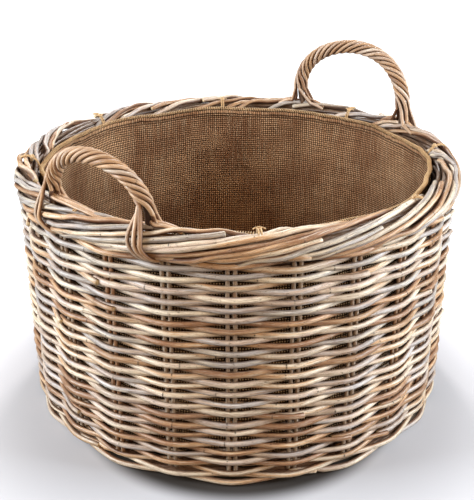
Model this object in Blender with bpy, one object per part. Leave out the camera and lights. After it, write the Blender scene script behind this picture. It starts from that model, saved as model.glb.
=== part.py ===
"""Round wicker log basket: woven wall on paired stakes, two rope-twist handles, tied hessian lining.

Metres, +Z up. The origin is the centre of the underside and -Y is the front.
"""

import math

import bmesh
import bpy
from mathutils import Vector

# Driving dimensions.
HEIGHT = 0.335  # floor to the top of the border
RIM_RADIUS = 0.300  # outside of the border
BORDER_WIDTH = 0.033
BORDER_DEPTH = 0.038
WALL_TOP_RADIUS = 0.296  # outside of the weave just under the border
WALL_BASE_RADIUS = 0.291
GAP = 0.0003  # between pieces that touch on the real basket
RING_STEPS = 48

# Stakes: 24 hairpin rods, two legs each.
STAKE_COUNT = 24
STAKE_PHASE = math.radians(-91.3)
STAKE_RADIUS = 0.00275
LEG_OFFSET = 0.004  # from the middle of the pair to each leg
STAKE_TOE = 0.036  # how far the hairpin lies over the base
STAKE_FLOOR = 0.0136

# Side weave: two weavers that chase each other round, in front of one stake and behind the next.
WEAVER_RADIUS = 0.003
ROW_PITCH = 0.0069
FIRST_ROW = 0.0205
LAST_ROW = 0.2905
OUTSIDE_REACH = 0.0083  # stake centre to weaver centre where the weaver passes outside
INSIDE_REACH = 0.0067

# Base.
BASE_RADIUS = 0.262
BASE_THICKNESS = 0.010
WALE_INNER = 0.264
WALE_OUTER = 0.288
STICK_LENGTH = 0.410
STICK_WIDTH = 0.008
STICK_THICKNESS = 0.0025
STICK_SPACING = 0.036

# Handles: a bow rod with seven strands laid round it as a rope. The back one is larger.
FRONT_HANDLE = {
    "axis": math.radians(235),
    "half_angle": math.radians(15.2),
    "rise": 0.0705,
    "lean": 0.0,
    "bulge": 0.025,
    "bow": 0.0035,
    "strand": 0.0021,
    "lay": 0.0068,
    "turns": 3.3,
}
BACK_HANDLE = {
    "axis": math.radians(48.7),
    "half_angle": math.radians(19.3),
    "rise": 0.0994,
    "lean": math.radians(-3),
    "bulge": 0.125,
    "bow": 0.0042,
    "strand": 0.0023,
    "lay": 0.0077,
    "turns": 3.9,
}
BOW_ROOT = 0.024  # how far the bow reaches into the border
STRAND_COUNT = 7
STRANDS_START = 0.0042  # height of the strand ends over the border

# Lining: side panel and floor panel, tied to the border.
LINING_RADIUS = 0.2655
LINING_THICKNESS = 0.002
LINING_FLOOR = 0.0170
LINING_TOP = 0.322
TIE_COUNT = 8
TIE_PHASE = math.radians(50)
TIE_RADIUS = 0.0011

CANE = (0.46, 0.31, 0.19, 1)
GREY_CANE = (0.47, 0.40, 0.35, 1)
HESSIAN = (0.28, 0.18, 0.10, 1)
JUTE = (0.42, 0.29, 0.17, 1)


def material(name, colour, roughness):
    made = bpy.data.materials.new(name)
    made.use_nodes = True
    shader = made.node_tree.nodes["Principled BSDF"]
    shader.inputs["Base Color"].default_value = colour
    shader.inputs["Roughness"].default_value = roughness
    return made


def polar(radius, angle, height):
    return Vector((radius * math.cos(angle), radius * math.sin(angle), height))


def rod(name, points, radius, finish, roundness=0):
    """A round rod with flat ends along the points; roundness 0 gives it four sides, 1 six."""
    curve = bpy.data.curves.new(name, "CURVE")
    curve.dimensions = "3D"
    curve.bevel_depth = radius
    curve.bevel_resolution = roundness
    curve.use_fill_caps = True
    spline = curve.splines.new("POLY")
    spline.points.add(len(points) - 1)
    for slot, point in zip(spline.points, points):
        slot.co = (*point, 1)
    curve.materials.append(finish)
    made = bpy.data.objects.new(name, curve)
    bpy.context.collection.objects.link(made)
    return made


def turned(name, profile, finish):
    """A ring made by carrying a closed (radius, height) outline round the Z axis."""
    mesh = bmesh.new()
    loops = []
    for step in range(RING_STEPS):
        angle = 2 * math.pi * step / RING_STEPS
        loops.append([mesh.verts.new(polar(r, angle, z)) for r, z in profile])
    count = len(profile)
    for step in range(RING_STEPS):
        here = loops[step]
        there = loops[(step + 1) % RING_STEPS]
        for i in range(count):
            j = (i + 1) % count
            mesh.faces.new((here[i], there[i], there[j], here[j]))
    return mesh_object(name, mesh, finish)


def mesh_object(name, mesh, finish):
    bmesh.ops.recalc_face_normals(mesh, faces=mesh.faces)
    data = bpy.data.meshes.new(name)
    mesh.to_mesh(data)
    mesh.free()
    data.materials.append(finish)
    data.shade_smooth()
    data.set_sharp_from_angle(angle=math.radians(35))
    made = bpy.data.objects.new(name, data)
    bpy.context.collection.objects.link(made)
    return made


def disc(name, radius, low, high, finish):
    mesh = bmesh.new()
    bmesh.ops.create_cone(
        mesh, cap_ends=True, segments=RING_STEPS, radius1=radius, radius2=radius, depth=high - low
    )
    bmesh.ops.translate(mesh, verts=mesh.verts, vec=(0, 0, (low + high) / 2))
    return mesh_object(name, mesh, finish)


def bar(name, size, centre, finish):
    mesh = bmesh.new()
    bmesh.ops.create_cube(mesh, size=1)
    bmesh.ops.scale(mesh, verts=mesh.verts, vec=size)
    bmesh.ops.translate(mesh, verts=mesh.verts, vec=centre)
    return mesh_object(name, mesh, finish)


def stake_radius(height):
    """Distance of the stakes from the axis: the wall opens a little towards the top."""
    share = height / HEIGHT
    wall = WALL_BASE_RADIUS + (WALL_TOP_RADIUS - WALL_BASE_RADIUS) * share
    return wall - OUTSIDE_REACH - WEAVER_RADIUS


def stake_angle(index):
    return STAKE_PHASE + 2 * math.pi * index / STAKE_COUNT


def leg_points(angle, side):
    """One leg of a hairpin, from its toe on the base, round the corner and up to the border."""
    out = polar(1, angle, 0)
    across = side * LEG_OFFSET * Vector((-out.y, out.x, 0))
    corner = stake_radius(STAKE_FLOOR)
    top = HEIGHT - BORDER_DEPTH - GAP
    bend = 2 * STAKE_RADIUS
    stations = (
        (corner - STAKE_TOE, STAKE_FLOOR),
        (corner - bend, STAKE_FLOOR),
        (corner, STAKE_FLOOR + bend),
        (stake_radius(top), top),
    )
    return [out * radius + across + Vector((0, 0, height)) for radius, height in stations]


def build_stakes(finish):
    for index in range(STAKE_COUNT):
        angle = stake_angle(index)
        points = leg_points(angle, 1)[::-1] + leg_points(angle, -1)
        rod(f"stake_{index + 1:02d}", points, STAKE_RADIUS, finish)


def weaver_points(first_outside):
    """Weaver centre line: outside every other stake, inside the ones between, rising two rows a turn."""
    points = []
    stake = 0
    height = FIRST_ROW + first_outside * ROW_PITCH
    while height <= LAST_ROW:
        outside = stake % 2 == first_outside
        reach = OUTSIDE_REACH if outside else -INSIDE_REACH
        points.append(polar(stake_radius(height) + reach, stake_angle(stake), height))
        height += 2 * ROW_PITCH / STAKE_COUNT
        stake += 1
    return points


def build_side_weave(finish):
    rod("side_weaver_a", weaver_points(0), WEAVER_RADIUS, finish)
    rod("side_weaver_b", weaver_points(1), WEAVER_RADIUS, finish)


def build_base(finish):
    disc("base_weave", BASE_RADIUS, 0, BASE_THICKNESS, finish)
    chamfer = 0.003
    top = STAKE_FLOOR - STAKE_RADIUS - GAP
    outline = (
        (WALE_INNER, 0),
        (WALE_OUTER - chamfer, 0),
        (WALE_OUTER, chamfer),
        (WALE_OUTER, top - chamfer),
        (WALE_OUTER - chamfer, top),
        (WALE_INNER, top),
    )
    turned("foot_wale", outline, finish)
    lower = BASE_THICKNESS + GAP + STICK_THICKNESS / 2
    upper = lower + STICK_THICKNESS + GAP
    for side, place in ((-1, "left"), (1, "right")):
        size = (STICK_WIDTH, STICK_LENGTH, STICK_THICKNESS)
        bar(f"base_stick_{place}", size, (side * STICK_SPACING / 2, 0, lower), finish)
    for side, place in ((-1, "front"), (1, "back")):
        size = (STICK_LENGTH, STICK_WIDTH, STICK_THICKNESS)
        bar(f"base_stick_{place}", size, (0, side * STICK_SPACING / 2, upper), finish)


def border_outline(steps=12):
    """Oval section of the border, as (radius, height) points."""
    return [border_point(2 * math.pi * step / steps, 0) for step in range(steps)]


def border_point(turn, clearance):
    """(radius, height) this far off the border's oval section; turn 0 is outside, a quarter turn the top."""
    radius = RIM_RADIUS - BORDER_WIDTH / 2 + (BORDER_WIDTH / 2 + clearance) * math.cos(turn)
    height = HEIGHT - BORDER_DEPTH / 2 + (BORDER_DEPTH / 2 + clearance) * math.sin(turn)
    return radius, height


def build_border(finish):
    return turned("rim_border", border_outline(), finish)


class Handle:
    """Centre line of one handle: an arch over the rim circle. A positive lean tips it outwards."""

    def __init__(self, name, size):
        self.name = name
        self.axis = size["axis"]
        self.half_angle = size["half_angle"]
        self.rise = size["rise"]
        self.lean = size["lean"]
        self.bulge = size["bulge"]
        self.bow = size["bow"]
        self.strand = size["strand"]
        self.lay = size["lay"]
        self.turns = size["turns"]
        self.radius = RIM_RADIUS - BORDER_WIDTH / 2

    def point(self, turn):
        """Turn 0 is the foot on the clockwise side, half a turn the other foot."""
        share = math.cos(turn) + self.bulge * math.sin(2 * turn)
        along = self.rise * math.sin(turn)
        angle = self.axis - self.half_angle * share
        radius = self.radius + along * math.sin(self.lean)
        return polar(radius, angle, HEIGHT + along * math.cos(self.lean))

    def frame(self, turn):
        """Two directions square to the centre line."""
        step = 0.001
        ahead = (self.point(turn + step) - self.point(turn - step)).normalized()
        out = polar(1, self.axis, 0)
        side = ahead.cross(out).normalized()
        return side, side.cross(ahead)

    def first_turn(self, clearance):
        """Turn at which the centre line stands this high over the border."""
        return math.asin(clearance / (self.rise * math.cos(self.lean)))


def bow_points(handle, steps=16):
    arch = [handle.point(math.pi * step / steps) for step in range(steps + 1)]
    root = Vector((0, 0, -BOW_ROOT))
    return [arch[0] + root, *arch, arch[-1] + root]


def strand_points(handle, index, steps=28):
    """One strand of the rope, laid round the bow at a steady pitch."""
    start = handle.first_turn(STRANDS_START)
    points = []
    for step in range(steps + 1):
        share = step / steps
        turn = start + (math.pi - 2 * start) * share
        side, out = handle.frame(turn)
        lay = 2 * math.pi * (handle.turns * share + index / STRAND_COUNT)
        offset = handle.lay * (math.cos(lay) * side + math.sin(lay) * out)
        points.append(handle.point(turn) + offset)
    return points


def build_handle(handle, border, finish):
    points = bow_points(handle)
    rod(f"{handle.name}_bow", points, handle.bow, finish, roundness=1)
    cut_socket(border, f"{handle.name}_socket_a", points[0], handle.bow, finish)
    cut_socket(border, f"{handle.name}_socket_b", points[-1], handle.bow, finish)
    for index in range(STRAND_COUNT):
        name = f"{handle.name}_strand_{index + 1}"
        rod(name, strand_points(handle, index), handle.strand, finish)


def cut_socket(border, name, root, bow_radius, finish):
    """A blind round socket in the border for one end of a bow."""
    mesh = bmesh.new()
    size = bow_radius + 2 * GAP
    bmesh.ops.create_cone(
        mesh, cap_ends=True, segments=8, radius1=size, radius2=size, depth=2 * BOW_ROOT
    )
    bmesh.ops.translate(mesh, verts=mesh.verts, vec=root + Vector((0, 0, BOW_ROOT - 4 * GAP)))
    cutter = mesh_object(name, mesh, finish)
    cutter.hide_render = True
    cutter.display_type = "WIRE"
    cut = border.modifiers.new(name, "BOOLEAN")
    cut.object = cutter
    cut.operation = "DIFFERENCE"
    cut.solver = "EXACT"


def build_lining(finish):
    inner = LINING_RADIUS - LINING_THICKNESS
    bottom = LINING_FLOOR + LINING_THICKNESS + GAP
    outline = (
        (inner, bottom),
        (LINING_RADIUS, bottom),
        (LINING_RADIUS, LINING_TOP),
        (inner, LINING_TOP),
    )
    turned("lining_side", outline, finish)
    disc("lining_floor", LINING_RADIUS, LINING_FLOOR, LINING_FLOOR + LINING_THICKNESS, finish)


def build_ties(finish):
    """Jute ties over the inner crest of the border, evenly spaced."""
    for index in range(TIE_COUNT):
        angle = TIE_PHASE + 2 * math.pi * index / TIE_COUNT
        points = []
        for degrees in range(75, 155, 15):
            radius, height = border_point(math.radians(degrees), TIE_RADIUS + 3 * GAP)
            points.append(polar(radius, angle, height))
        rod(f"lining_tie_{index + 1}", points, TIE_RADIUS, finish)


def clear_scene():
    for thing in list(bpy.data.objects):
        bpy.data.objects.remove(thing, do_unlink=True)


def main():
    clear_scene()
    cane = material("cane", CANE, 0.6)
    grey_cane = material("grey_cane", GREY_CANE, 0.65)
    build_base(cane)
    build_stakes(cane)
    build_side_weave(grey_cane)
    border = build_border(grey_cane)
    build_handle(Handle("handle_front", FRONT_HANDLE), border, cane)
    build_handle(Handle("handle_back", BACK_HANDLE), border, cane)
    build_lining(material("hessian", HESSIAN, 0.95))
    build_ties(material("jute", JUTE, 0.9))


main()
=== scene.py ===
"""Looks of the wicker log basket: cane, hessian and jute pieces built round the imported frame.

Metres, +Z up, -Y is the front. Canes are swept as round rods with their own attributes, which the
cane material turns into node rings, fibre streaks and weathering.
"""

import math

import bmesh
import bpy
import numpy as np
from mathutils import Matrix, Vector


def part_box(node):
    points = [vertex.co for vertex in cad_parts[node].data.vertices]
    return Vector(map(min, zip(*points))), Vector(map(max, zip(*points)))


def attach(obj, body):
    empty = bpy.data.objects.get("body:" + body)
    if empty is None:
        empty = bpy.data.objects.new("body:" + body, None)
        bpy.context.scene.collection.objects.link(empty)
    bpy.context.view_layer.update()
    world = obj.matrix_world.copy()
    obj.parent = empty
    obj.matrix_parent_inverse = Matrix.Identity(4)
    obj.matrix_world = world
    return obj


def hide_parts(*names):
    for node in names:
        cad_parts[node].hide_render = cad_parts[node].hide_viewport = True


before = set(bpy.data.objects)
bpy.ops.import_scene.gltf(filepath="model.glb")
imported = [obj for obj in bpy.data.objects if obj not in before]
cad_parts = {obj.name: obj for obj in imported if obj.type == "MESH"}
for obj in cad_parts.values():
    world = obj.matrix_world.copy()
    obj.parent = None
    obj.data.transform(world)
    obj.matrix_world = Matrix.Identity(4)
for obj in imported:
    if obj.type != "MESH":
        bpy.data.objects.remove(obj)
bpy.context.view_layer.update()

TAU = 2 * math.pi
rng = np.random.default_rng(41)

# ---------------- sizes taken from the frame
RIM_LOW, RIM_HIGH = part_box("rim_border")
RIM_RADIUS = RIM_HIGH.x
RIM_TOP = RIM_HIGH.z
RIM_BOTTOM = RIM_LOW.z
LINING_LOW, LINING_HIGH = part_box("lining_side")
LINING_RADIUS = LINING_HIGH.x
FLOOR_PANEL_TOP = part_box("lining_floor")[1].z
BASE_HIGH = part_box("base_weave")[1]
BASE_RADIUS = BASE_HIGH.x


def middle(node):
    """Mean place of a CAD node's points."""
    return np.mean([tuple(v.co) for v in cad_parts[node].data.vertices], axis=0)


def bearing(point):
    return math.atan2(point[1], point[0])


def sideways(angle):
    """Level direction along the wall at an angle."""
    return np.array([-math.sin(angle), math.cos(angle), 0.0])


def stacked(*columns):
    return np.stack(np.broadcast_arrays(*columns), axis=-1)


def around(radius, angle, height):
    """Points at a radius and an angle round the basket's axis."""
    return stacked(radius * np.cos(angle), radius * np.sin(angle), height)


# ---------------- sizes of the real cane
STAKES = 24
STAKE_PHASE = bearing(middle("stake_01"))
STAKE_ROD = 0.0027
LEG_OFFSET = 0.0041  # half the distance between a stake's two legs
WALL_TOP_MID = RIM_RADIUS - 0.0155  # middle surface of the wall, where the stakes run
WALL_FOOT_MID = RIM_RADIUS - 0.0184
WALL_INTO_BORDER = 0.011  # how far the weaving goes on above the border's lower edge
FOOT_CORNER = 0.009  # radius of the turn from base to wall
FOOT_MID = 0.0130  # height of the stakes where they lie over the base
ROW_PITCH = 0.0069
WEAVER_ROD = 0.0037
SAMPLES = 7  # points of a weaver from one stake to the next
WEAVE_REACH = 0.0066  # how far a weaver swings to either side of the middle surface
ROW_START = 0.0118  # the first row, resting on the foot wale
BORDER_ROD = 0.0034
BORDER_HALF_WIDTH = 0.0165
BORDER_HALF_DEPTH = 0.019
BORDER_MID_RADIUS = RIM_RADIUS - BORDER_HALF_WIDTH
BORDER_MID_HEIGHT = RIM_TOP - BORDER_HALF_DEPTH
UP = np.array([0.0, 0.0, 1.0])


# ---------------- sweeping canes
def unit(vectors):
    return vectors / np.maximum(np.linalg.norm(vectors, axis=-1, keepdims=True), 1e-12)


def lengths_along(path):
    steps = np.linalg.norm(np.diff(path, axis=0), axis=1)
    return np.concatenate([[0.0], np.cumsum(steps)])


def smooth_path(points, per_span):
    """Catmull-Rom curve through the points."""
    points = np.asarray(points, float)
    padded = np.vstack([2 * points[0] - points[1], points, 2 * points[-1] - points[-2]])
    t = np.linspace(0, 1, per_span, endpoint=False)[:, None]
    spans = []
    for a, b, c, d in zip(padded, padded[1:], padded[2:], padded[3:]):
        bent = (2 * a - 5 * b + 4 * c - d) * t**2
        spans.append(0.5 * (2 * b + (c - a) * t + bent + (3 * b - a - 3 * c + d) * t**3))
    return np.vstack([*spans, points[-1:]])


def ring_quads(start, count, sides):
    """Faces between a number of closed rings of points."""
    i = start + sides * np.arange(count - 1)[:, None]
    k = np.arange(sides)[None]
    ahead = (k + 1) % sides
    return np.stack([i + k, i + ahead, i + sides + ahead, i + sides + k], axis=-1).reshape(-1, 4)


def put_vectors(mesh, name, vectors):
    attribute = mesh.attributes.new(name, "FLOAT_VECTOR", "POINT")
    attribute.data.foreach_set("vector", vectors.astype(np.float32).ravel())


class Bundle:
    """Canes or threads gathered into one mesh, with the attributes their material reads."""

    def __init__(self):
        self.points = []
        self.quads = []
        self.triangles = []
        self.fibre = []
        self.values = {"tone": [], "grain": [], "node": [], "pith": []}
        self.size = 0

    def cane(self, path, facing, radius, tone=0.5, nodes=0.15, sides=8):
        """Adds one rod along the path. facing gives each point's outward direction."""
        path = np.asarray(path, float)
        facing = np.broadcast_to(np.asarray(facing, float), path.shape)
        radius = np.broadcast_to(np.asarray(radius, float), (len(path),))
        path, facing, radius, ring = self.with_nodes(path, facing, radius, nodes)
        ahead = unit(np.gradient(path, axis=0))
        normal = unit(facing - (facing * ahead).sum(1)[:, None] * ahead)
        side = np.cross(ahead, normal)
        turn = TAU * np.arange(sides) / sides
        spoke = np.cos(turn)[None, :, None] * normal[:, None] + np.sin(turn)[None, :, None] * side[:, None]
        swollen = radius * (1 + 0.05 * ring)
        along = lengths_along(path)
        look = (tone, rng.random())
        start = self.size
        self.add_rings(path[:, None] + swollen[:, None, None] * spoke, along, turn, look, ring, 0.0)
        self.quads.append(ring_quads(start, len(path), sides))
        for at, out in ((0, -ahead[0]), (len(path) - 1, ahead[-1])):
            edge = start + at * sides
            self.cap(edge, path[at], spoke[at], out, swollen[at], along[at], turn, look, at == 0)

    @staticmethod
    def with_nodes(path, facing, radius, spacing):
        """Puts four close rings at each growth node, spaced unevenly along the cane."""
        along = lengths_along(path)
        if not spacing or along[-1] < spacing:
            return path, facing, radius, np.zeros(len(path))
        places = np.cumsum(spacing * rng.uniform(0.6, 1.5, int(along[-1] / spacing) + 2))
        places = places[places < along[-1] - 0.004]
        reach = np.array([-0.0016, -0.0004, 0.0004, 0.0016])
        extra = (places[:, None] + reach).ravel()
        extra = extra[(extra > 0) & (extra < along[-1])]
        marks = np.tile([0.0, 1.0, 1.0, 0.0], len(places))[: len(extra)]
        stations = np.concatenate([along, extra])
        ring = np.concatenate([np.zeros(len(along)), marks])
        order = np.argsort(stations)
        stations, ring = stations[order], ring[order]
        keep = np.concatenate([[True], np.diff(stations) > 0.0003])
        stations, ring = stations[keep], ring[keep]

        def sampled(values):
            return stacked(*(np.interp(stations, along, values[:, i]) for i in range(3)))

        return sampled(path), sampled(facing), np.interp(stations, along, radius), ring

    def add_rings(self, rings, along, turn, look, node, pith):
        """Adds rings of points; look is the tone and grain of the whole cane, node and pith 0 or 1."""
        count, sides = rings.shape[:2]
        self.points.append(rings.reshape(-1, 3))
        self.fibre.append(stacked(along[:, None], np.cos(turn), np.sin(turn)).reshape(-1, 3))
        for values, value in zip(self.values.values(), (*look, node[:, None], pith)):
            values.append(np.broadcast_to(value, (count, sides)).ravel())
        self.size += count * sides

    def cap(self, edge, centre, spoke, out, radius, along, turn, look, first):
        """A slightly domed cut end."""
        sides = len(turn)
        inner = centre + 0.72 * radius * spoke + 0.22 * radius * out
        tip = centre + 0.30 * radius * out
        start = self.size
        here = np.array([along])
        zero = np.zeros(1)
        self.add_rings(inner[None], here, turn, look, zero, 1.0)
        self.add_rings(tip[None, None], here, zero, look, zero, 1.0)
        k = np.arange(sides)
        ahead = (k + 1) % sides
        if first:
            k, ahead = ahead, k
        self.quads.append(np.stack([edge + k, edge + ahead, start + ahead, start + k], axis=-1))
        self.triangles.append(np.stack([start + k, start + ahead, np.full(sides, start + sides)], axis=-1))

    def build(self, name, material, body, replaces=()):
        faces = np.vstack(self.quads).tolist() + np.vstack(self.triangles).tolist()
        mesh = bpy.data.meshes.new(name)
        mesh.from_pydata(np.vstack(self.points).tolist(), [], faces)
        for key, values in self.values.items():
            attribute = mesh.attributes.new(key, "FLOAT", "POINT")
            attribute.data.foreach_set("value", np.concatenate(values).astype(np.float32))
        put_vectors(mesh, "fibre", np.vstack(self.fibre))
        mesh.shade_smooth()
        mesh.set_sharp_from_angle(angle=math.radians(55))
        place(name, mesh, material, body, replaces)


def add_object(name, data):
    thing = bpy.data.objects.new(name, data)
    bpy.context.scene.collection.objects.link(thing)
    return thing


def place(name, mesh, material, body, replaces=()):
    mesh.materials.append(material)
    piece = add_object(name, mesh)
    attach(piece, body)
    if replaces:
        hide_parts(*replaces)
    return piece


# ---------------- shader helpers
class Nodes:
    """Short spellings for building a node tree."""

    def __init__(self, name):
        self.material = bpy.data.materials.new(name)
        self.material.use_nodes = True
        self.tree = self.material.node_tree
        self.shader = self.tree.nodes["Principled BSDF"]

    def new(self, kind, **settings):
        node = self.tree.nodes.new("ShaderNode" + kind)
        for key, value in settings.items():
            setattr(node, key, value)
        return node

    def link(self, source, target):
        if isinstance(source, (int, float, tuple)):
            target.default_value = source
        else:
            self.tree.links.new(source, target)

    def fill(self, node, **values):
        """Sets or links the node's inputs by name."""
        for key, value in values.items():
            self.link(value, node.inputs[key.replace("_", " ")])
        return node

    def attribute(self, name, output="Fac"):
        return self.new("Attribute", attribute_name=name).outputs[output]

    def here(self, output):
        return self.new("NewGeometry").outputs[output]

    def parts(self, vector):
        """X, Y and Z of a vector."""
        node = self.new("SeparateXYZ")
        self.link(vector, node.inputs[0])
        return node.outputs

    def math(self, operation, a, b=0.0):
        node = self.new("Math", operation=operation)
        self.link(a, node.inputs[0])
        self.link(b, node.inputs[1])
        return node.outputs[0]

    def times(self, a, b):
        return self.math("MULTIPLY", a, b)

    def span(self, value, low, high, to_low=0.0, to_high=1.0):
        node = self.new("MapRange", interpolation_type="SMOOTHSTEP")
        self.fill(node, Value=value, From_Min=low, From_Max=high, To_Min=to_low, To_Max=to_high)
        return node.outputs["Result"]

    def mix(self, share, a, b, blend="MIX"):
        node = self.new("Mix", data_type="RGBA", blend_type=blend)
        return self.fill(node, Factor=share, A=a, B=b).outputs["Result"]

    def scaled(self, vector, scale, offset=None):
        node = self.new("VectorMath", operation="MULTIPLY")
        self.link(vector, node.inputs[0])
        node.inputs[1].default_value = scale
        if offset is None:
            return node.outputs[0]
        shift = self.new("VectorMath", operation="ADD")
        self.link(node.outputs[0], shift.inputs[0])
        self.link(offset, shift.inputs[1])
        return shift.outputs[0]

    def noise(self, vector, scale, detail=3.0, roughness=0.55, output="Fac"):
        node = self.new("TexNoise")
        self.fill(node, Vector=vector, Scale=scale, Detail=detail, Roughness=roughness)
        return node.outputs[output]

    def bump(self, height, strength, distance, below=None):
        node = self.new("Bump")
        self.fill(node, Height=height, Strength=strength, Distance=distance)
        if below is not None:
            self.link(below, node.inputs["Normal"])
        return node.outputs["Normal"]

    def finish(self, colour, roughness, **values):
        self.fill(self.shader, Base_Color=colour, Roughness=roughness, **values)
        return self.material


# ---------------- materials
def srgb(red, green, blue):
    """Linear colour from the 0 to 255 values a screen shows."""
    return tuple(((c / 255 + 0.055) / 1.055) ** 2.4 for c in (red, green, blue)) + (1.0,)


def cane_material(name, shade, colours):
    """Peeled rattan: golden to weathered grey, with fibre streaks, freckles, thin node rings and painted
    shade on each cane's far flank.

    shade is how much darker the darkest canes are than the lightest.
    """
    n = Nodes(name)
    grain = n.attribute("grain")
    offset = n.fill(n.new("CombineXYZ"), X=n.times(grain, 41.0), Y=n.times(grain, 17.0)).outputs[0]
    fibre = n.attribute("fibre", "Vector")

    def marks(along, across, detail, roughness=0.55, scale=1.0):
        """Noise drawn out along the fibres, different on each cane."""
        return n.noise(n.scaled(fibre, (along, across, across), offset), scale, detail, roughness)

    patches = marks(11.0, 0.5, 3.0, scale=1.1)
    streaks = marks(38.0, 3.6, 5.0, 0.68)
    fine = marks(70.0, 9.0, 4.0, 0.75)
    tone = n.math("ADD", n.attribute("tone"), n.times(n.math("SUBTRACT", patches, 0.5), 1.25))
    ramp = n.new("ValToRGB")
    n.link(tone, ramp.inputs[0])
    stops = ramp.color_ramp.elements
    while len(stops) < len(colours):
        stops.new(0.5)
    for stop, (position, colour) in zip(stops, colours):
        stop.position = position
        stop.color = colour
    colour = ramp.outputs["Color"]
    bleach = n.span(marks(34.0, 2.6, 4.0), 0.55, 0.72)
    colour = n.mix(n.times(bleach, 0.5), colour, srgb(238, 226, 208))
    colour = n.mix(n.span(streaks, 0.48, 0.66, 0.0, 0.66), colour, srgb(112, 74, 46))
    colour = n.mix(n.span(fine, 0.51, 0.65, 0.0, 0.6), colour, srgb(94, 60, 40))
    colour = n.mix(n.span(fine, 0.48, 0.34, 0.0, 0.45), colour, srgb(246, 234, 216))
    lightness = n.math("FRACT", n.times(grain, 7.31))
    colour = n.mix(n.span(lightness, 0.0, 1.0, shade, 0.0), colour, srgb(88, 58, 36))
    scar = n.span(marks(190.0, 2.6, 3.0, 0.7), 0.61, 0.67)
    colour = n.mix(n.times(scar, 0.75), colour, srgb(62, 38, 22))
    # painted shade: each cane is darkened on the flank turned away from its outward side, standing in for
    # the shade between canes
    ragged = n.math("ADD", n.parts(fibre)[1], n.times(n.math("SUBTRACT", fine, 0.5), 1.2))
    painted_flank_shade = n.span(ragged, 0.62, -0.25, 0.0, 0.88)
    colour = n.mix(painted_flank_shade, colour, srgb(118, 78, 48), "MULTIPLY")
    freckle = n.span(marks(900.0, 9.0, 1.0, 0.5), 0.68, 0.74)
    colour = n.mix(n.times(freckle, 0.55), colour, srgb(70, 44, 28))
    ring_strength = n.span(marks(9.0, 1.6, 2.0), 0.38, 0.62, 0.0, 0.85)
    ring = n.times(n.span(n.attribute("node"), 0.3, 0.9), ring_strength)
    colour = n.mix(ring, colour, srgb(48, 29, 18))
    colour = n.mix(n.times(n.attribute("pith"), 0.75), colour, srgb(214, 190, 150))
    # a little darker and browner within six centimetres of the floor
    low_down = n.span(n.parts(n.here("Position"))[2], 0.06, 0.0, 0.0, 0.04)
    colour = n.mix(low_down, colour, srgb(132, 92, 60), "MULTIPLY")
    normal = n.bump(streaks, 0.6, 0.0007)
    normal = n.bump(scar, -0.4, 0.0005, normal)
    roughness = n.span(streaks, 0.3, 0.8, 0.38, 0.62)
    polish = {"Coat_Weight": 0.08, "Coat_Roughness": 0.35, "Specular_IOR_Level": 0.4}
    return n.finish(colour, roughness, Normal=normal, **polish)


CREAM = srgb(230, 212, 188)
GOLD = srgb(206, 160, 116)
BLUSH = srgb(204, 176, 156)
LILAC = srgb(190, 182, 180)
UMBER = srgb(154, 108, 74)
GREY = srgb(166, 156, 148)
WARM_COLOURS = ((0.02, UMBER), (0.20, GOLD), (0.38, CREAM), (0.54, BLUSH))
GREY_COLOURS = ((0.70, LILAC), (0.85, GREY), (0.98, CREAM))
STAKE_COLOURS = ((0.1, UMBER), (0.5, srgb(152, 130, 110)), (0.9, srgb(180, 160, 140)))
GOLD_COLOURS = ((0.05, UMBER), (0.35, GOLD), (0.65, BLUSH), (0.95, CREAM))
# dark cane for the parts deep inside the border roll and the rope: painted shade
PAINTED_SHADE_COLOURS = ((0.1, srgb(70, 45, 27)), (0.9, srgb(94, 66, 43)))
CANE = cane_material("cane_mixed", 0.30, WARM_COLOURS + GREY_COLOURS)
CANE_STAKE = cane_material("cane_stakes", 0.35, STAKE_COLOURS)
CANE_GOLD = cane_material("cane_golden", 0.25, GOLD_COLOURS)
CANE_PAINTED_SHADE = cane_material("cane_inner_painted_shade", 0.4, PAINTED_SHADE_COLOURS)

YARN = 0.0034  # from one hessian yarn to the next


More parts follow.
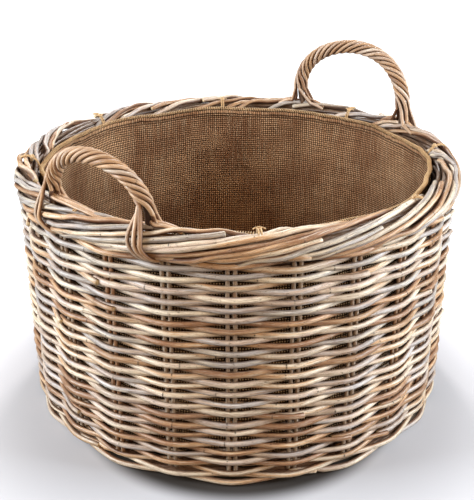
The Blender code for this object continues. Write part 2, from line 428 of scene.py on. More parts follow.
def hessian_material():
    """Plain weave of coarse jute yarn with dark gaps at the corners; the outer face has painted shade,
    darker and in stronger contrast.
    """
    n = Nodes("hessian_weave")
    cloth = n.attribute("cloth", "Vector")
    wobble = n.noise(cloth, 70.0, 2.0, 0.5, "Color")
    spot = n.parts(n.scaled(wobble, (0.0026, 0.0026, 0.0), cloth))
    across = n.math("SINE", n.times(spot[0], math.pi / YARN))
    up = n.math("SINE", n.times(spot[1], math.pi / YARN))
    crossing = n.times(across, up)
    knuckle = n.math("POWER", n.math("ABSOLUTE", crossing), 0.6)
    slub = n.noise(n.scaled(cloth, (16.0, 330.0, 1.0)), 1.0, 3.0)
    slub_up = n.noise(n.scaled(cloth, (330.0, 16.0, 1.0)), 1.0, 3.0)
    stain = n.noise(cloth, 13.0, 4.0)
    colour = n.mix(n.span(stain, 0.3, 0.7), srgb(158, 111, 79), srgb(208, 161, 121))
    colour = n.mix(n.span(slub, 0.45, 0.70, 0.0, 0.45), colour, srgb(98, 66, 44))
    colour = n.mix(n.span(slub_up, 0.45, 0.70, 0.0, 0.5), colour, srgb(214, 180, 144))
    colour = n.mix(n.span(crossing, -0.3, 0.3, 0.22, 0.0), colour, srgb(96, 64, 40))
    colour = n.mix(n.span(knuckle, 0.30, 0.84, 0.96, 0.0), colour, srgb(40, 22, 12))
    # painted shade: the face turned out towards the wall is made darker, standing in for the shade behind
    # the canes
    outward = n.new("VectorMath", operation="DOT_PRODUCT")
    n.link(n.here("Normal"), outward.inputs[0])
    n.link(n.scaled(n.here("Position"), (1.0, 1.0, 0.0)), outward.inputs[1])
    outside = n.mix(n.span(knuckle, 0.62, 0.95), srgb(40, 23, 12), srgb(214, 180, 142))
    outside = n.mix(n.span(stain, 0.3, 0.7, 0.4, 0.0), outside, srgb(92, 62, 40))
    colour = n.mix(n.span(outward.outputs["Value"], 0.0, 0.05, 0.0, 1.0), colour, outside)
    return n.finish(colour, 0.95, Normal=n.bump(knuckle, 1.0, 0.0014), Specular_IOR_Level=0.1)


def jute_material():
    """Hairy two-ply jute thread."""
    n = Nodes("jute_thread")
    fibre = n.attribute("fibre", "Vector")
    twist = n.noise(n.scaled(fibre, (900.0, 3.0, 3.0)), 1.0, 3.0)
    colour = n.mix(n.span(twist, 0.35, 0.7), srgb(168, 128, 84), srgb(222, 190, 146))
    return n.finish(colour, 0.9, Normal=n.bump(twist, 0.6, 0.0003), Sheen_Weight=0.2)


HESSIAN = hessian_material()
JUTE = jute_material()


# ---------------- wall
def wall_height():
    return RIM_BOTTOM + WALL_INTO_BORDER - FOOT_MID - FOOT_CORNER


def wall_point(run):
    """Middle surface of the wall: radius, height and outward (radial, up) direction at a run up it.

    The run starts at 0 where the base turns up into the wall; before that it lies under the base.
    """
    run = np.asarray(run, float)
    corner = FOOT_CORNER * math.pi / 2
    turn = np.clip(run / FOOT_CORNER, 0, math.pi / 2)
    share = np.clip((run - corner) / wall_height(), 0, 1.2)
    radius = WALL_FOOT_MID - FOOT_CORNER * (1 - np.sin(turn)) + np.minimum(run, 0)
    radius = radius + (WALL_TOP_MID - WALL_FOOT_MID) * share
    height = FOOT_MID + FOOT_CORNER * (1 - np.cos(turn)) + np.maximum(run - corner, 0)
    return radius, height, np.sin(turn), -np.cos(turn)


def on_wall(run, angle, reach):
    """Points and outward directions on the wall, reach metres outside its middle surface."""
    radius, height, out, up = wall_point(run)
    return around(radius + reach * out, angle, height + reach * up), around(out, angle, up)


def swing(angle, first_outside):
    """Goes from 1 in front of a stake to -1 behind the next, nearly straight in between."""
    phase = (angle - STAKE_PHASE) * STAKES / 2 + math.pi * first_outside
    return (np.cos(phase) + 0.07 * np.cos(3 * phase)) / 1.07


def stake_jitter(angle, size):
    """Unevenness that changes from one stake to the next."""
    stations = (angle - angle[0]) * STAKES / TAU
    knots = rng.normal(0.0, size, int(stations[-1]) + 3)
    return np.interp(stations, np.arange(len(knots)), knots)


def drift(angle, size, waves):
    """Slow unevenness along a weaver, the same each run."""
    total = np.zeros_like(angle)
    for _ in range(waves):
        total += np.sin(angle * rng.uniform(0.6, 7.0) + rng.uniform(0, TAU))
    return size * total / math.sqrt(waves)


HEAD_TUCK = 0.0022  # how far a new cane starts behind the one before
TAIL_LIFT = 0.0028  # how far the end of a cane stands out


def build_side_weaver(name, first_outside):
    """One of the two weavers: a helix two rows high per turn, pieced together from several canes."""
    bundle = Bundle()
    top_run = FOOT_CORNER * math.pi / 2 + wall_height()
    turns = (top_run - ROW_START) / (2 * ROW_PITCH) - first_outside / 2
    around_once = STAKES * SAMPLES
    tip = 0.35 + 0.5 * first_outside  # turns by which the thin tip comes before the first row
    turn = np.arange(-int(tip * around_once), int(turns * around_once)) / around_once
    count = len(turn)
    angle = STAKE_PHASE + turn * TAU
    row = first_outside + 2 * turn
    squeeze = np.clip(1 + row, 0.3, 1)  # the tips thin out between the foot wale and the row above
    run = ROW_START + ROW_PITCH * np.maximum(row, (squeeze - 1) / 2)
    run = run + drift(angle, 0.0004, 5) + stake_jitter(angle, 0.0007)
    reach = WEAVE_REACH * swing(angle, first_outside)
    reach = reach + drift(angle, 0.0003, 6) + stake_jitter(angle, 0.0004)
    points, facing = on_wall(run, angle, reach)
    at = 0
    while at < count - SAMPLES:
        end = min(at + int(rng.integers(13, 30)) * SAMPLES, count)
        if count - end < 5 * SAMPLES:
            end = count
        tail = min(end + int(rng.integers(2, 5)), count)
        rod = WEAVER_ROD * rng.uniform(0.88, 1.16)
        taper = np.linspace(rng.uniform(1.0, 1.06), rng.uniform(0.86, 0.98), tail - at) * squeeze[at:tail]
        path = points[at:tail].copy()
        path[:4] -= facing[at : at + 4] * HEAD_TUCK
        path[-4:] += facing[tail - 4 : tail] * np.linspace(0, TAIL_LIFT, 4)[:, None]
        tone = rng.random() * (0.62 + 0.38 * at / count)
        bundle.cane(path, facing[at:tail], rod * taper, tone=tone, nodes=0.17)
        at = end
    bundle.build(f"cane_{name}", CANE, "basket", [name])


def build_stake(index):
    """A hairpin stake: two legs up the wall, joined by a bend under the base."""
    bundle = Bundle()
    angle = STAKE_PHASE + TAU * index / STAKES
    across = sideways(angle)
    top = FOOT_CORNER * math.pi / 2 + wall_height() + 0.010
    under_base = [-0.027, -0.013]
    corner = np.linspace(0, FOOT_CORNER * 1.6, 7)
    run = np.concatenate([under_base, corner, np.linspace(0.05, top, 16)])
    points, facing = on_wall(run, np.full(len(run), angle), 0.0)
    sway = drift(run * 30, 0.0005, 3)[:, None] * across
    left = points + across * LEG_OFFSET + sway
    right = points - across * LEG_OFFSET + sway
    path = np.vstack([left[::-1], right])
    outward = np.vstack([facing[::-1], facing])
    rod = STAKE_ROD * rng.uniform(0.94, 1.06)
    bundle.cane(path, outward, rod, tone=rng.uniform(0.1, 0.8), nodes=0.2)
    name = f"stake_{index + 1:02d}"
    bundle.build(f"cane_{name}", CANE_STAKE, "basket", [name])


# ---------------- base
ARMS = 16
BASE_WEAVER = 0.0027
BASE_REACH = 0.0022  # how far its weavers swing up and down
BASE_MID = BASE_HIGH.z / 2
SLATH = 0.030  # half the size of the crossed sticks in the middle
STICK_HALF_GAP = 0.0044  # half the distance from one stick to the next where they cross
STICK_REACHES = (0.03, 0.09, 0.15, 0.21, BASE_RADIUS - 0.003)
STICK_LIFTS = (0.0032, -0.0022)  # the sticks along x cross over the ones along y


def build_base_weave():
    """Two weavers that spiral out over and under the base sticks."""
    bundle = Bundle()
    pitch = 2 * BASE_WEAVER + 0.0003
    per_arm = 6
    for first_over in (0, 1):
        turns = (BASE_RADIUS - SLATH) / (2 * pitch)
        count = int(turns * ARMS * per_arm)
        angle = np.arange(count) * TAU / (ARMS * per_arm)
        radius = SLATH + pitch * (first_over + 2 * angle / TAU)
        wave = np.cos(angle * ARMS / 2 + math.pi * first_over)
        points = around(radius, angle, BASE_MID + BASE_REACH * wave)
        at = 0
        while at < count - 1:
            end = min(at + int(rng.integers(14, 30)) * per_arm, count)
            rod = BASE_WEAVER * rng.uniform(0.95, 1.03)
            bundle.cane(points[at : min(end + 2, count)], -UP, rod, tone=rng.random(), sides=6)
            at = end
    bundle.build("cane_base_weave", CANE_GOLD, "basket", ["base_weave"])


def stick_point(axis, order, end, reach):
    """A point of one stick: straight where they cross, then bent out into its own arm."""
    offset = order * STICK_HALF_GAP
    straight = np.array([end * reach, offset] if axis == 0 else [offset, end * reach])
    fan = order * math.radians(180 / ARMS) * end * (1 if axis == 0 else -1)
    direction = (0.0 if axis == 0 else math.pi / 2) + (0 if end > 0 else math.pi)
    target = np.array([math.cos(direction + fan), math.sin(direction + fan)]) * reach
    share = min(max((reach - 0.02) / 0.10, 0), 1)
    spot = straight * (1 - share) + target * share
    return [*spot, BASE_MID + STICK_LIFTS[axis] * (1 - share)]


def build_base_sticks():
    """Four pairs of sticks crossed in the middle, their ends fanned evenly under the weaving."""
    plan = (("left", 1, -1), ("right", 1, 1), ("front", 0, -1), ("back", 0, 1))
    for place_name, axis, side in plan:
        bundle = Bundle()
        for rod in (-1, 1):
            order = side * 2 + rod  # -3, -1, 1, 3 across the group of four sticks
            near = [stick_point(axis, order, -1, reach) for reach in STICK_REACHES]
            far = [stick_point(axis, order, 1, reach) for reach in STICK_REACHES]
            path = smooth_path(near[::-1] + far, 6)
            thick = np.interp(np.linalg.norm(path[:, :2], axis=1), [0.03, 0.08], [0.0029, 0.0022])
            bundle.cane(path, UP, thick, tone=rng.uniform(0.1, 0.6))
        node = f"base_stick_{place_name}"
        bundle.build(f"cane_{node}", CANE_GOLD, "basket", [node])


WALE_RADIUS = RIM_RADIUS - 0.0157
WALE_OUTER = WALE_RADIUS + 0.0036  # where its rows pass outside a stake
WALE_HEIGHT = 0.0060
TWISTED = (BASE_RADIUS + 0.0056, 0.0024, 0.0033)  # radius, twist and rod of the inmost pair
SINGLE = (BASE_RADIUS + 0.0126, 0.0002, 0.0029)  # the same for the rod outside it


def build_foot_row(bundle, first_outside, row_height, tuck):
    """One level row of the foot wale: outside every other stake, tucked under the stakes between.

    tuck is how far inside WALE_RADIUS it passes there.
    """
    inner = WALE_RADIUS - tuck
    count = STAKES * SAMPLES
    start = STAKE_PHASE + math.pi * (0.75 + 0.4 * first_outside)  # both rows start at the back
    angle = start + np.arange(count + 5) * TAU / count
    wave = swing(angle, first_outside)
    radius = (inner + WALE_OUTER) / 2 + (WALE_OUTER - inner) / 2 * wave + drift(angle, 0.0003, 4)
    points = around(radius, angle, row_height - 0.0011 * wave + drift(angle, 0.0003, 4))
    facing = around(1.0, angle, -0.3)
    at = 0
    while at < count:
        end = min(at + int(rng.integers(35, 80)), count)
        path = points[at : end + 4].copy()
        path[:4] -= facing[at : at + 4] * 0.0030
        rod = WEAVER_ROD * rng.uniform(0.93, 1.02)
        bundle.cane(path, unit(facing[at : end + 4]), rod, tone=rng.uniform(0.15, 0.75), nodes=0.2)
        at = end


def build_foot_wale():
    """Fills the corner under the stakes: a twisted pair, a single rod and two woven rows outside."""
    bundle = Bundle()
    steps = STAKES * 8
    angle = STAKE_PHASE + TAU * np.arange(steps + 1) / steps
    for strand, (middle_radius, twist, rod) in enumerate((TWISTED, TWISTED, SINGLE)):
        wave = (angle - STAKE_PHASE) * STAKES / 2 + math.pi * strand
        points = around(middle_radius + twist * np.sin(wave), angle, WALE_HEIGHT + twist * np.cos(wave))
        bundle.cane(points, -UP, rod, tone=rng.random())
    build_foot_row(bundle, first_outside=1, row_height=0.0120, tuck=0.0048)
    build_foot_row(bundle, first_outside=0, row_height=0.0056, tuck=0.0050)
    bundle.build("cane_foot_wale", CANE, "basket", ["foot_wale"])


# ---------------- border
def border_at(turn, angle, off):
    """Points on the border's oval section; turn 0 is outside and a quarter turn the top."""
    wide = BORDER_HALF_WIDTH + off
    deep = BORDER_HALF_DEPTH + off
    radius = BORDER_MID_RADIUS + wide * np.cos(turn)
    height = BORDER_MID_HEIGHT + deep * np.sin(turn)
    facing = around(np.cos(turn) / wide, angle, np.sin(turn) / deep)
    return around(radius, angle, height), unit(facing)


def border_run(turn):
    """Metres travelled along the rim by the time a rod has wound this far round the border."""
    degrees = np.degrees(turn)
    knots = (-130.0, -90.0, -40.0, 60.0, 120.0, 150.0, 180.0, 230.0)
    runs = (-0.030, 0.0, 0.055, 0.190, 0.262, 0.288, 0.304, 0.322)
    return np.interp(degrees, knots, runs)


BORDER_FROM, BORDER_TO = -128, 228  # degrees a border rod winds round the roll


def build_border():
    """Pairs of rods that rise across the outside, cross over the top and tuck in behind the lining."""
    bundle = Bundle()
    for index in range(STAKES):
        start = STAKE_PHASE + TAU * index / STAKES + math.radians(rng.uniform(-1.8, 1.8))
        stretch = rng.uniform(0.88, 1.12)
        lift = rng.uniform(-0.0010, 0.0008)
        turn_all = np.radians(np.linspace(BORDER_FROM, BORDER_TO, 54))
        twist = rng.uniform(-0.5, 0.5) + drift(turn_all * 1.3, 0.45, 2)
        for rod in (-1, 1):
            last = BORDER_TO
            if rng.random() < 0.45:  # ends on top, near the lining
                last = rng.uniform(112, 158)
            if rng.random() < 0.12:  # ends on the outside of the crest
                last = rng.uniform(38, 80)
            turn = np.radians(np.linspace(BORDER_FROM, last, 54))
            run = np.pad(stretch * border_run(turn), 3, mode="reflect", reflect_type="odd")
            run = np.convolve(run, np.ones(7) / 7, "valid")
            angle = start + run / BORDER_MID_RADIUS
            radius = BORDER_ROD * rng.uniform(0.82, 1.12)
            sway = drift(turn * 1.5, 0.0008, 3)
            points, facing = border_at(turn, angle, -BORDER_ROD + lift + sway)
            ahead = unit(np.gradient(points, axis=0))
            lateral = np.cross(ahead, facing)
            spread = BORDER_ROD * (1.20 + 0.32 * np.sin(turn * rng.uniform(0.8, 1.6) + rng.uniform(0, TAU)))
            roll = np.interp(turn, turn_all, twist)[:, None]
            path = points + rod * spread[:, None] * (np.cos(roll) * lateral + 0.7 * np.sin(roll) * facing)
            bundle.cane(path, facing, radius, tone=rng.random(), nodes=0.22)
    bundle.build("cane_rim_border", CANE, "basket", ["rim_border"])


def build_border_core():
    """Tails of the rods, coloured dark as painted shade: inside the roll towards the lining, in rows below
    it and in its middle.
    """
    bundle = Bundle()
    steps = 240
    angle = TAU * np.arange(steps + 1) / steps

    def wind(turn, radius, height, wide, deep, rod):
        points = around(radius + wide * np.cos(turn), angle, height + deep * np.sin(turn))
        bundle.cane(points, UP, rod, tone=rng.random(), nodes=0)

    for strand in range(4):
        turn = angle * 5 + TAU * strand / 4
        wind(turn, BORDER_MID_RADIUS - 0.0120, BORDER_MID_HEIGHT - 0.0050, 0.0012, 0.0090, 0.0030)
    for row in range(4):
        turn = STAKES / 2 * angle + math.pi * row
        wind(turn, BORDER_MID_RADIUS - 0.0124, RIM_BOTTOM - 0.0135 + 0.0062 * row, 0.0003, 0.0005, 0.0033)
    for strand in range(6):
        turn = angle * 3 + TAU * strand / 6
        wind(turn, BORDER_MID_RADIUS, BORDER_MID_HEIGHT, 0.0052, 0.0074, 0.0041)
    bundle.build("cane_rim_core", CANE_PAINTED_SHADE, "basket", ["rim_border"])


# ---------------- handles
STRANDS = 7
# how far the arch leans to one side, the radius at which the strands lie, their rod and their turns
ARCH_SHAPES = {"handle_front": (0.025, 0.0071, 0.0027, 2.6), "handle_back": (0.125, 0.0079, 0.0027, 3.1)}


class Handle:
    """Centre line of one rope handle, fitted to its bow in the frame."""

    def __init__(self, name):
        self.name = name
        self.bulge, self.lay, self.rod, self.turns = ARCH_SHAPES[name]
        points = np.array([tuple(v.co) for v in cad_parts[f"{name}_bow"].data.vertices])
        feet = points[points[:, 2] < RIM_TOP - 0.010]
        self.axis = bearing(feet.mean(axis=0))
        self.out = np.array([math.cos(self.axis), math.sin(self.axis), 0.0])
        across = feet @ sideways(self.axis)
        bow = 0.5 * np.ptp(feet @ self.out)
        self.half_angle = math.asin((np.abs(across).max() - bow) / BORDER_MID_RADIUS)
        crown = points[points[:, 2] > points[:, 2].max() - 0.006]
        self.rise_up = points[:, 2].max() - bow - RIM_TOP - 0.002
        self.rise_out = np.linalg.norm(crown[:, :2], axis=1).mean() - BORDER_MID_RADIUS

    def point(self, turn):
        turn = np.asarray(turn, float)
        share = np.cos(turn) + self.bulge * np.sin(2 * turn)
        angle = self.axis - self.half_angle * share
        radius = BORDER_MID_RADIUS + self.rise_out * np.sin(turn)
        return around(radius, angle, RIM_TOP + self.rise_up * np.sin(turn))

    def frames(self, turn):
        path = self.point(turn)
        ahead = unit(self.point(turn + 0.002) - self.point(turn - 0.002))
        side = unit(np.cross(ahead, self.out))
        return path, side, np.cross(side, ahead)


def over_outside(handle, foot, rank, count, shift):
    """Way points of a strand that laps the outside of the border and tucks under its lower edge."""
    step = 2.05 * handle.rod
    centre = (rank - 0.5 * (count - 1)) * step - shift
    plan = (
        (38, 1.25 * centre, 0.0034),
        (-6, 1.15 * centre + 0.0010, 0.0030),
        (-44, centre + 0.0080, 0.0026),
        (-76, centre + 0.0150, 0.0008),
        (-112, centre + 0.0190, -0.0060),
    )
    return on_border(foot, plan)


def along_top(foot, rank, way, splay, reach):
    """Way points of a strand that runs on along the top of the border and sinks between its rods."""
    turn = 80 + 13 * rank
    plan = (
        (turn, way * (splay + 0.0015 * rank), 0.0034),
        (turn + 3, way * (splay + 0.35 * reach), 0.0022),
        (turn + 6, way * (splay + 0.70 * reach), -0.0006),
        (turn + 9, way * (splay + reach), -0.0050),
    )
    return on_border(foot, plan)


def on_border(foot, plan):
    """Points from degrees round the border, metres to one side of the foot and metres off the surface."""
    return [
        border_at(math.radians(turn), foot + aside / BORDER_MID_RADIUS, off)[0]
        for turn, aside, off in plan
    ]


def tail_plans(handle, foot_index, lays):
    """Gives each strand its way into the border and the height at which it leaves the rope.

    The outermost strands lap the outside of the border and the rest run along its top.
    """
    foot = handle.axis + (handle.half_angle if foot_index else -handle.half_angle)
    away = -1 if foot_index else 1
    lapping, shift, both_ways, splay, reach = FOOT_PLANS[handle.name, foot_index]
    aside = away * np.cos(lays)  # which side of the rope along the rim
    outward = np.argsort(-np.sin(lays) + LAP_SIDE[handle.name] * aside)
    plans = {}
    for rank, strand in enumerate(sorted(outward[:lapping], key=lambda strand: aside[strand])):
        plans[strand] = over_outside(handle, foot, rank, lapping, shift), LAP_HEIGHT[handle.name]
    for rank, strand in enumerate(outward[lapping:]):
        way = math.copysign(1, aside[strand]) if both_ways else 1
        plans[strand] = along_top(foot, rank, way, splay, reach), SPLAY_HEIGHT[handle.name]
    return plans


# strands that lap the outside and how far to one side, then whether the others go both ways along
# the rim, how wide and how far
FOOT_PLANS = {
    ("handle_front", 0): (2, 0.0045, False, 0.005, 0.085),
    ("handle_front", 1): (3, 0.0085, False, 0.006, 0.032),
    ("handle_back", 0): (3, 0.0050, True, 0.012, 0.026),
    ("handle_back", 1): (3, 0.0050, True, 0.012, 0.026),
}
SPLAY_HEIGHT = {"handle_front": 0.014, "handle_back": 0.022}  # where the rope opens, over the border
LAP_HEIGHT = {"handle_front": 0.026, "handle_back": 0.022}  # where the lapping strands leave it
LAP_SIDE = {"handle_front": 0.7, "handle_back": 0.0}  # how much they keep to one side of the rope


def build_strand(handle, strand, heads, tails):
    """One cane of the rope, with both its tails."""
    share, turn = rope_stations(handle)
    path, side, out = handle.frames(turn)
    lay = TAU * (handle.turns * wound(share) + strand / STRANDS)
    loose = 1 + 0.14 * np.abs(2 * share - 1) ** 4
    reach = handle.lay * loose * (1 + 0.04 * np.sin(5 * share * math.pi + strand))
    spoke = np.cos(lay)[:, None] * side + np.sin(lay)[:, None] * out
    rope = path + spoke * reach[:, None]
    head, leave_head = heads[strand]
    tail, leave_tail = tails[strand]
    over = path[:, 2] - RIM_TOP
    keep = (over > np.where(share < 0.5, leave_head, leave_tail)).nonzero()[0]
    rope, spoke = rope[keep], spoke[keep]
    first = smooth_path(head[::-1] + [rope[0], rope[4]], 8)[:-8]
    final = smooth_path([rope[-5], rope[-1]] + tail, 8)[8:]
    full = np.vstack([first[:-1], rope, final[1:]])
    head_out = full[: len(first) - 1] - handle.point(0.0) + 0.02 * UP
    tail_out = full[len(first) - 1 + len(rope) :] - handle.point(math.pi) + 0.02 * UP
    outward = np.vstack([head_out, spoke, tail_out])
    bundle = Bundle()
    radius = handle.rod * rng.uniform(0.92, 1.06)
    bundle.cane(full, unit(outward), radius, tone=rng.uniform(0.05, 0.75), nodes=0.2)
    node = f"{handle.name}_strand_{strand + 1}"
    bundle.build(f"cane_{node}", CANE_GOLD, "basket", [node])


def wound(share):
    """Share of the twist taken by each share of the rope's length; it slackens towards both ends."""
    rate = np.clip(np.minimum(share, 1 - share) / 0.08, 0.35, 1.0)
    total = np.concatenate([[0.0], np.cumsum(0.5 * (rate[1:] + rate[:-1]) * np.diff(share))])
    return total / total[-1]


def rope_stations(handle):
    """Where the strands lie in the rope: the same height over the border on one side and the other."""
    start = math.asin(SPLAY_HEIGHT[handle.name] / handle.rise_up)
    turn = np.linspace(start, math.pi - start, 90)
    return (turn - start) / (math.pi - 2 * start), turn


BOW_ROD = 0.0046
BOW_DEPTH = 0.022  # how far its ends go down into the border


def build_handle(name):
    handle = Handle(name)
    start_lays = TAU * np.arange(STRANDS) / STRANDS
    heads = tail_plans(handle, 0, start_lays)
    tails = tail_plans(handle, 1, start_lays + TAU * handle.turns)
    for strand in range(STRANDS):
        build_strand(handle, strand, heads, tails)
    bundle = Bundle()
    turn = np.linspace(0, math.pi, 60)
    path, side, _ = handle.frames(turn)
    path = np.vstack([path[0] - BOW_DEPTH * UP, path, path[-1] - BOW_DEPTH * UP])
    side = np.vstack([side[0], side, side[-1]])
    # the bow inside the rope is in the dark cane, as painted shade between the strands
    bundle.cane(path, side, BOW_ROD, tone=0.3, nodes=0)
    bundle.build(f"cane_{name}_bow", CANE_PAINTED_SHADE, "basket", [f"{name}_bow"])


# ---------------- lining
TIES = 8
TIE_PHASE = bearing(middle("lining_tie_1"))
CLOTH = 0.0016
HEM_HEIGHT = 0.014


def cloth_mesh(name, grid, cloth):
    """A ring-shaped sheet from a grid of points, with cloth coordinates in metres."""
    mesh = bpy.data.meshes.new(name)
    mesh.from_pydata(grid.reshape(-1, 3).tolist(), [], ring_quads(0, *grid.shape[:2]).tolist())
    put_vectors(mesh, "cloth", cloth)
    mesh.shade_smooth()
    return mesh


def lining_slack(angle, share):
    """How far the side panel hangs in from the wall; share is 0 at the seam and 1 at the hem."""
    between = 0.5 - 0.5 * np.cos(TIES * (angle - TIE_PHASE))
    hem = 0.0042 * between * np.exp(-((share - 1.0) ** 2) / 0.03)
    folds = 0.0015 * np.sin(13 * angle + 1.3 * np.sin(3 * angle)) * share**0.5
    folds = folds + 0.0012 * np.sin(29 * angle + 5 * share + 2.0 * np.sin(5 * angle))
    billow = 0.0022 * (1 + np.sin(5 * angle + 4.2 * share)) * np.sin(math.pi * share)
    pucker = 0.003 * np.exp(-(((share - 0.93) / 0.05) ** 2)) * np.exp(-((1 - between) * 6 - 6) ** 2 / 2)
    return 0.0012 + hem + 0.5 * (folds + 0.0027) + billow - pucker


def build_lining_side():
    columns, rows = 480, 90
    angle = TAU * np.arange(columns)[None] / columns
    share = np.linspace(0, 1, rows)[:, None]
    low, high = LINING_LOW.z + 0.002, LINING_HIGH.z
    radius = LINING_RADIUS - lining_slack(angle, share)
    radius = radius - 0.010 * np.clip(1 - share * 16, 0, 1) ** 2
    height = low + (high - low) * share + 0.0012 * np.sin(11 * angle + 1.0) * share
    grid = around(radius, angle, height)
    place_panel("side", grid, stacked(angle * LINING_RADIUS, share * (high - low), 0.0))
    build_hem(angle[0], grid[-1])


def place_panel(name, grid, cloth):
    """A panel of the lining, as thick as the cloth."""
    mesh = cloth_mesh(f"hessian_{name}", grid, cloth)
    piece = place(f"hessian_{name}", mesh, HESSIAN, "lining", [f"lining_{name}"])
    solid = piece.modifiers.new("thickness", "SOLIDIFY")
    solid.thickness = CLOTH
    solid.offset = 0


def build_hem(angle, edge):
    """The turned-over top edge: a flattened fold, with an overcast thread along its crest."""
    section = []
    for turn in np.linspace(0, TAU, 14, endpoint=False):
        rise = math.copysign(abs(math.sin(turn)) ** 0.6, math.sin(turn))
        taper = 0.56 + 0.44 * rise
        section.append((0.0023 * taper * math.cos(turn), 0.5 * HEM_HEIGHT * rise))
    wide, deep = np.array(section).T[:, :, None, None]
    out = around(1.0, angle, 0.0)
    crumple = 1 + 0.12 * np.sin(37 * angle) + 0.10 * np.sin(61 * angle + 1)
    centre = edge + (-0.5 * HEM_HEIGHT + 0.002) * UP - out * 0.0012
    grid = centre[None] + wide * out[None] * crumple[None, :, None]
    grid = grid + deep * UP
    grid = np.concatenate([grid, grid[:1]])
    over = np.linspace(0, 2 * HEM_HEIGHT, len(grid))[:, None]
    mesh = cloth_mesh("hessian_hem", grid, stacked(angle * LINING_RADIUS, over, 0.0))
    weld(mesh)
    place("hessian_hem", mesh, HESSIAN, "lining")
    build_overcast(angle, centre + (0.5 * HEM_HEIGHT - 0.0015) * UP)


def weld(mesh):
    """Joins the first and the last row of the fold."""
    work = bmesh.new()
    work.from_mesh(mesh)
    bmesh.ops.remove_doubles(work, verts=work.verts, dist=1e-6)
    bmesh.ops.recalc_face_normals(work, faces=work.faces)
    work.to_mesh(mesh)
    work.free()


OVERCAST_STEP = 0.0030  # from one loop of the overcast thread to the next


def build_overcast(angle, crest):
    """Thread wound over the hem's crest."""
    loops = int(TAU * LINING_RADIUS / OVERCAST_STEP)
    fine = np.linspace(0, TAU, loops * 8 + 1)
    known = np.append(angle, TAU)
    line = stacked(*(np.interp(fine, known, np.append(crest[:, i], crest[0, i])) for i in range(3)))
    outward = around(1.0, fine, 0.0)
    wind = (fine * loops)[:, None]
    path = line + outward * (0.0027 * np.cos(wind))
    path = path + UP * (0.0022 * np.sin(wind))
    bundle = Bundle()
    facing = outward * np.cos(wind) + UP * np.sin(wind)
    bundle.cane(path, facing, 0.00055, nodes=0, sides=5)
    bundle.build("jute_overcast", JUTE, "lining")


def build_lining_floor():
    columns, rows = 240, 40
    angle = TAU * np.arange(columns)[None] / columns
    share = np.linspace(0.002, 1, rows)[:, None]
    radius = (LINING_RADIUS - 0.009) * share
    ripple = 0.0012 * np.sin(radius * 60 + 3 * np.sin(2 * angle)) * np.sin(4 * angle + radius * 20)
    height = FLOOR_PANEL_TOP + 0.0012 + ripple * share
    height = height + 0.0035 * np.clip((share - 0.94) / 0.06, 0, 1) ** 2
    grid = around(radius, angle, height)
    place_panel("floor", grid, stacked(grid[..., 0], grid[..., 1], 0.0))
    fine = np.linspace(0, TAU, 720)
    wind = fine * 260
    spread = LINING_RADIUS - 0.0095 + 0.0012 * np.cos(wind)
    stitches = around(spread, fine, FLOOR_PANEL_TOP + 0.0062 + 0.0008 * np.sin(wind))
    seam = Bundle()
    seam.cane(stitches, UP, 0.0007, nodes=0, sides=5)
    seam.build("jute_seam", JUTE, "lining")


def build_tie(index):
    """Two-ply jute cord looped over the inner crest of the border, knotted on top."""
    angle = bearing(middle(f"lining_tie_{index + 1}"))
    turn = np.radians(np.linspace(66, 166, 60))
    bundle = Bundle()
    for cord in (-1, 1):
        place_on_rim = angle + cord * 0.0016 / BORDER_MID_RADIUS
        line, facing = border_at(turn, np.full(60, place_on_rim), 0.0006)
        lateral = np.cross(unit(np.gradient(line, axis=0)), facing)
        for ply in (0, math.pi):
            wind = np.linspace(0, 9 * TAU, 60) + ply
            path = line + 0.0006 * (np.cos(wind)[:, None] * facing + np.sin(wind)[:, None] * lateral)
            bundle.cane(path, facing, 0.00065, nodes=0, sides=6)
    knot_at, up = border_at(math.radians(118), angle, 0.0018)
    ring = np.linspace(0, TAU, 24)
    across = sideways(angle)
    along = np.cross(across, up)
    for lean in (-0.5, 0.5):
        leaning = unit(along + lean * up)
        loop = knot_at + 0.0026 * (np.cos(ring)[:, None] * across + np.sin(ring)[:, None] * leaning)
        bundle.cane(loop, up, 0.0009, nodes=0, sides=6)
    for side in (-1, 1):
        bend = knot_at + side * 0.003 * across + 0.001 * up
        tip = knot_at + side * 0.007 * across - 0.001 * up + 0.002 * along
        bundle.cane(smooth_path([knot_at, bend, tip], 6), up, 0.0008, nodes=0, sides=6)
    node = f"lining_tie_{index + 1}"
    bundle.build(f"jute_{node}", JUTE, "basket", [node])


# ---------------- studio
WHITE = (1, 1, 1, 1)
PAPER = (0.452, 0.430, 0.446, 1)
PAPER_UNSEEN = (0.14, 0.14, 0.14, 1)  # what it throws back up under the canes
PAPER_PAINTED_SHADOW = (0.036, 0.030, 0.027, 1)  # in the shadow where the foot stands on it


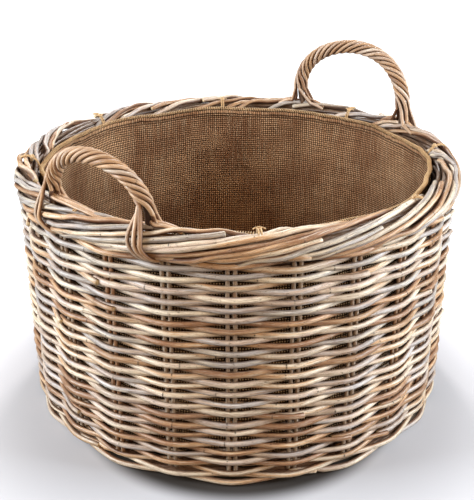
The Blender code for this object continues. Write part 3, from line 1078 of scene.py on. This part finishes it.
def build_floor():
    """White paper that glows to the camera away from the basket and has a painted contact shadow under the
    foot.
    """
    mesh = bpy.data.meshes.new("studio_floor")
    half = 14.0
    corners = [(-half, -half, 0), (half, -half, 0), (half, half, 0), (-half, half, 0)]
    mesh.from_pydata(corners, [], [(0, 1, 2, 3)])
    n = Nodes("studio_paper")
    seen = n.new("LightPath").outputs["Is Camera Ray"]
    reach = n.new("VectorMath", operation="LENGTH")
    n.link(n.here("Position"), reach.inputs[0])
    depth = n.parts(n.here("Position"))[1]

    def distance(lean):
        """Metres from the middle of the basket, measured longer towards the back."""
        return n.math("ADD", reach.outputs["Value"], n.times(depth, lean))

    away = distance(0.3)
    glow = n.math("ADD", n.span(away, 0.25, 0.50, 0.0, 0.58), n.span(away, 0.5, 1.6, 0.0, 0.6))
    n.fill(n.shader, Emission_Strength=n.times(glow, seen), Emission_Color=WHITE)
    # painted contact shadow: the paper goes dark close to the foot, most towards the front
    paper = n.mix(n.span(distance(0.35), 0.193, 0.216), PAPER_PAINTED_SHADOW, PAPER)
    colour = n.mix(seen, PAPER_UNSEEN, paper)
    mesh.materials.append(n.finish(colour, 0.9, Specular_IOR_Level=0.1))
    floor = add_object("studio_floor", mesh)
    floor.location.z = -0.0004


def soft_light(name, place_at, size, power, colour=(1, 1, 1)):
    data = bpy.data.lights.new(name, "AREA")
    data.shape = "RECTANGLE"
    data.size, data.size_y = size
    data.energy = power
    data.color = colour
    lamp = add_object(name, data)
    lamp.location = place_at
    aim = Vector((0, 0, 0.18)) - Vector(place_at)
    lamp.rotation_euler = aim.to_track_quat("-Z", "Y").to_euler()


def build_world():
    """White to the camera and dim to everything else."""
    world = bpy.data.worlds.new("studio")
    world.use_nodes = True
    tree = world.node_tree
    dim = tree.nodes["Background"]
    dim.inputs["Color"].default_value = WHITE
    dim.inputs["Strength"].default_value = 0.09
    bright = tree.nodes.new("ShaderNodeBackground")
    bright.inputs["Color"].default_value = WHITE
    seen = tree.nodes.new("ShaderNodeLightPath").outputs["Is Camera Ray"]
    mix = tree.nodes.new("ShaderNodeMixShader")
    tree.links.new(seen, mix.inputs[0])
    tree.links.new(dim.outputs[0], mix.inputs[1])
    tree.links.new(bright.outputs[0], mix.inputs[2])
    tree.links.new(mix.outputs[0], tree.nodes["World Output"].inputs["Surface"])
    bpy.context.scene.world = world


def build_studio():
    build_floor()
    build_world()
    soft_light("right_box", (1.6, -0.4, 0.85), (0.8, 0.9), 58, (0.80, 0.92, 1.0))
    soft_light("left_box", (-1.6, -0.4, 0.85), (0.8, 0.9), 58, (0.84, 0.94, 1.0))
    soft_light("back_box", (0.0, 1.25, 1.3), (0.22, 0.22), 17)
    soft_light("top_box", (0.1, 0.1, 2.2), (0.6, 0.6), 9.5, (1.0, 0.98, 0.95))
    soft_light("front_box", (0.2, -1.95, 1.25), (0.5, 0.4), 18.5, (1.0, 0.745, 0.48))
    bpy.context.scene.view_settings.view_transform = "Standard"


def build_camera():
    """Pinhole view from 23 degrees above the front, about 1.3 m away."""
    target = Vector((0, 0, 0.207))
    distance = 1.305
    elevation = math.radians(23.23)
    data = bpy.data.cameras.new("camera")
    data.lens = 66.2
    data.sensor_width = 36
    data.shift_y = -0.027
    camera = add_object("camera", data)
    camera.location = target + distance * Vector((0, -math.cos(elevation), math.sin(elevation)))
    camera.rotation_euler = (math.pi / 2 - elevation, 0, 0)
    bpy.context.scene.camera = camera


# ---------------- the basket; the order matters, since every piece draws from the same rng
build_base_weave()
build_base_sticks()
build_foot_wale()
for stake in range(STAKES):
    build_stake(stake)
build_side_weaver("side_weaver_a", 0)
build_side_weaver("side_weaver_b", 1)
build_border()
build_border_core()
build_handle("handle_front")
build_handle("handle_back")
build_lining_side()
build_lining_floor()
for tie in range(TIES):
    build_tie(tie)
build_studio()
build_camera()
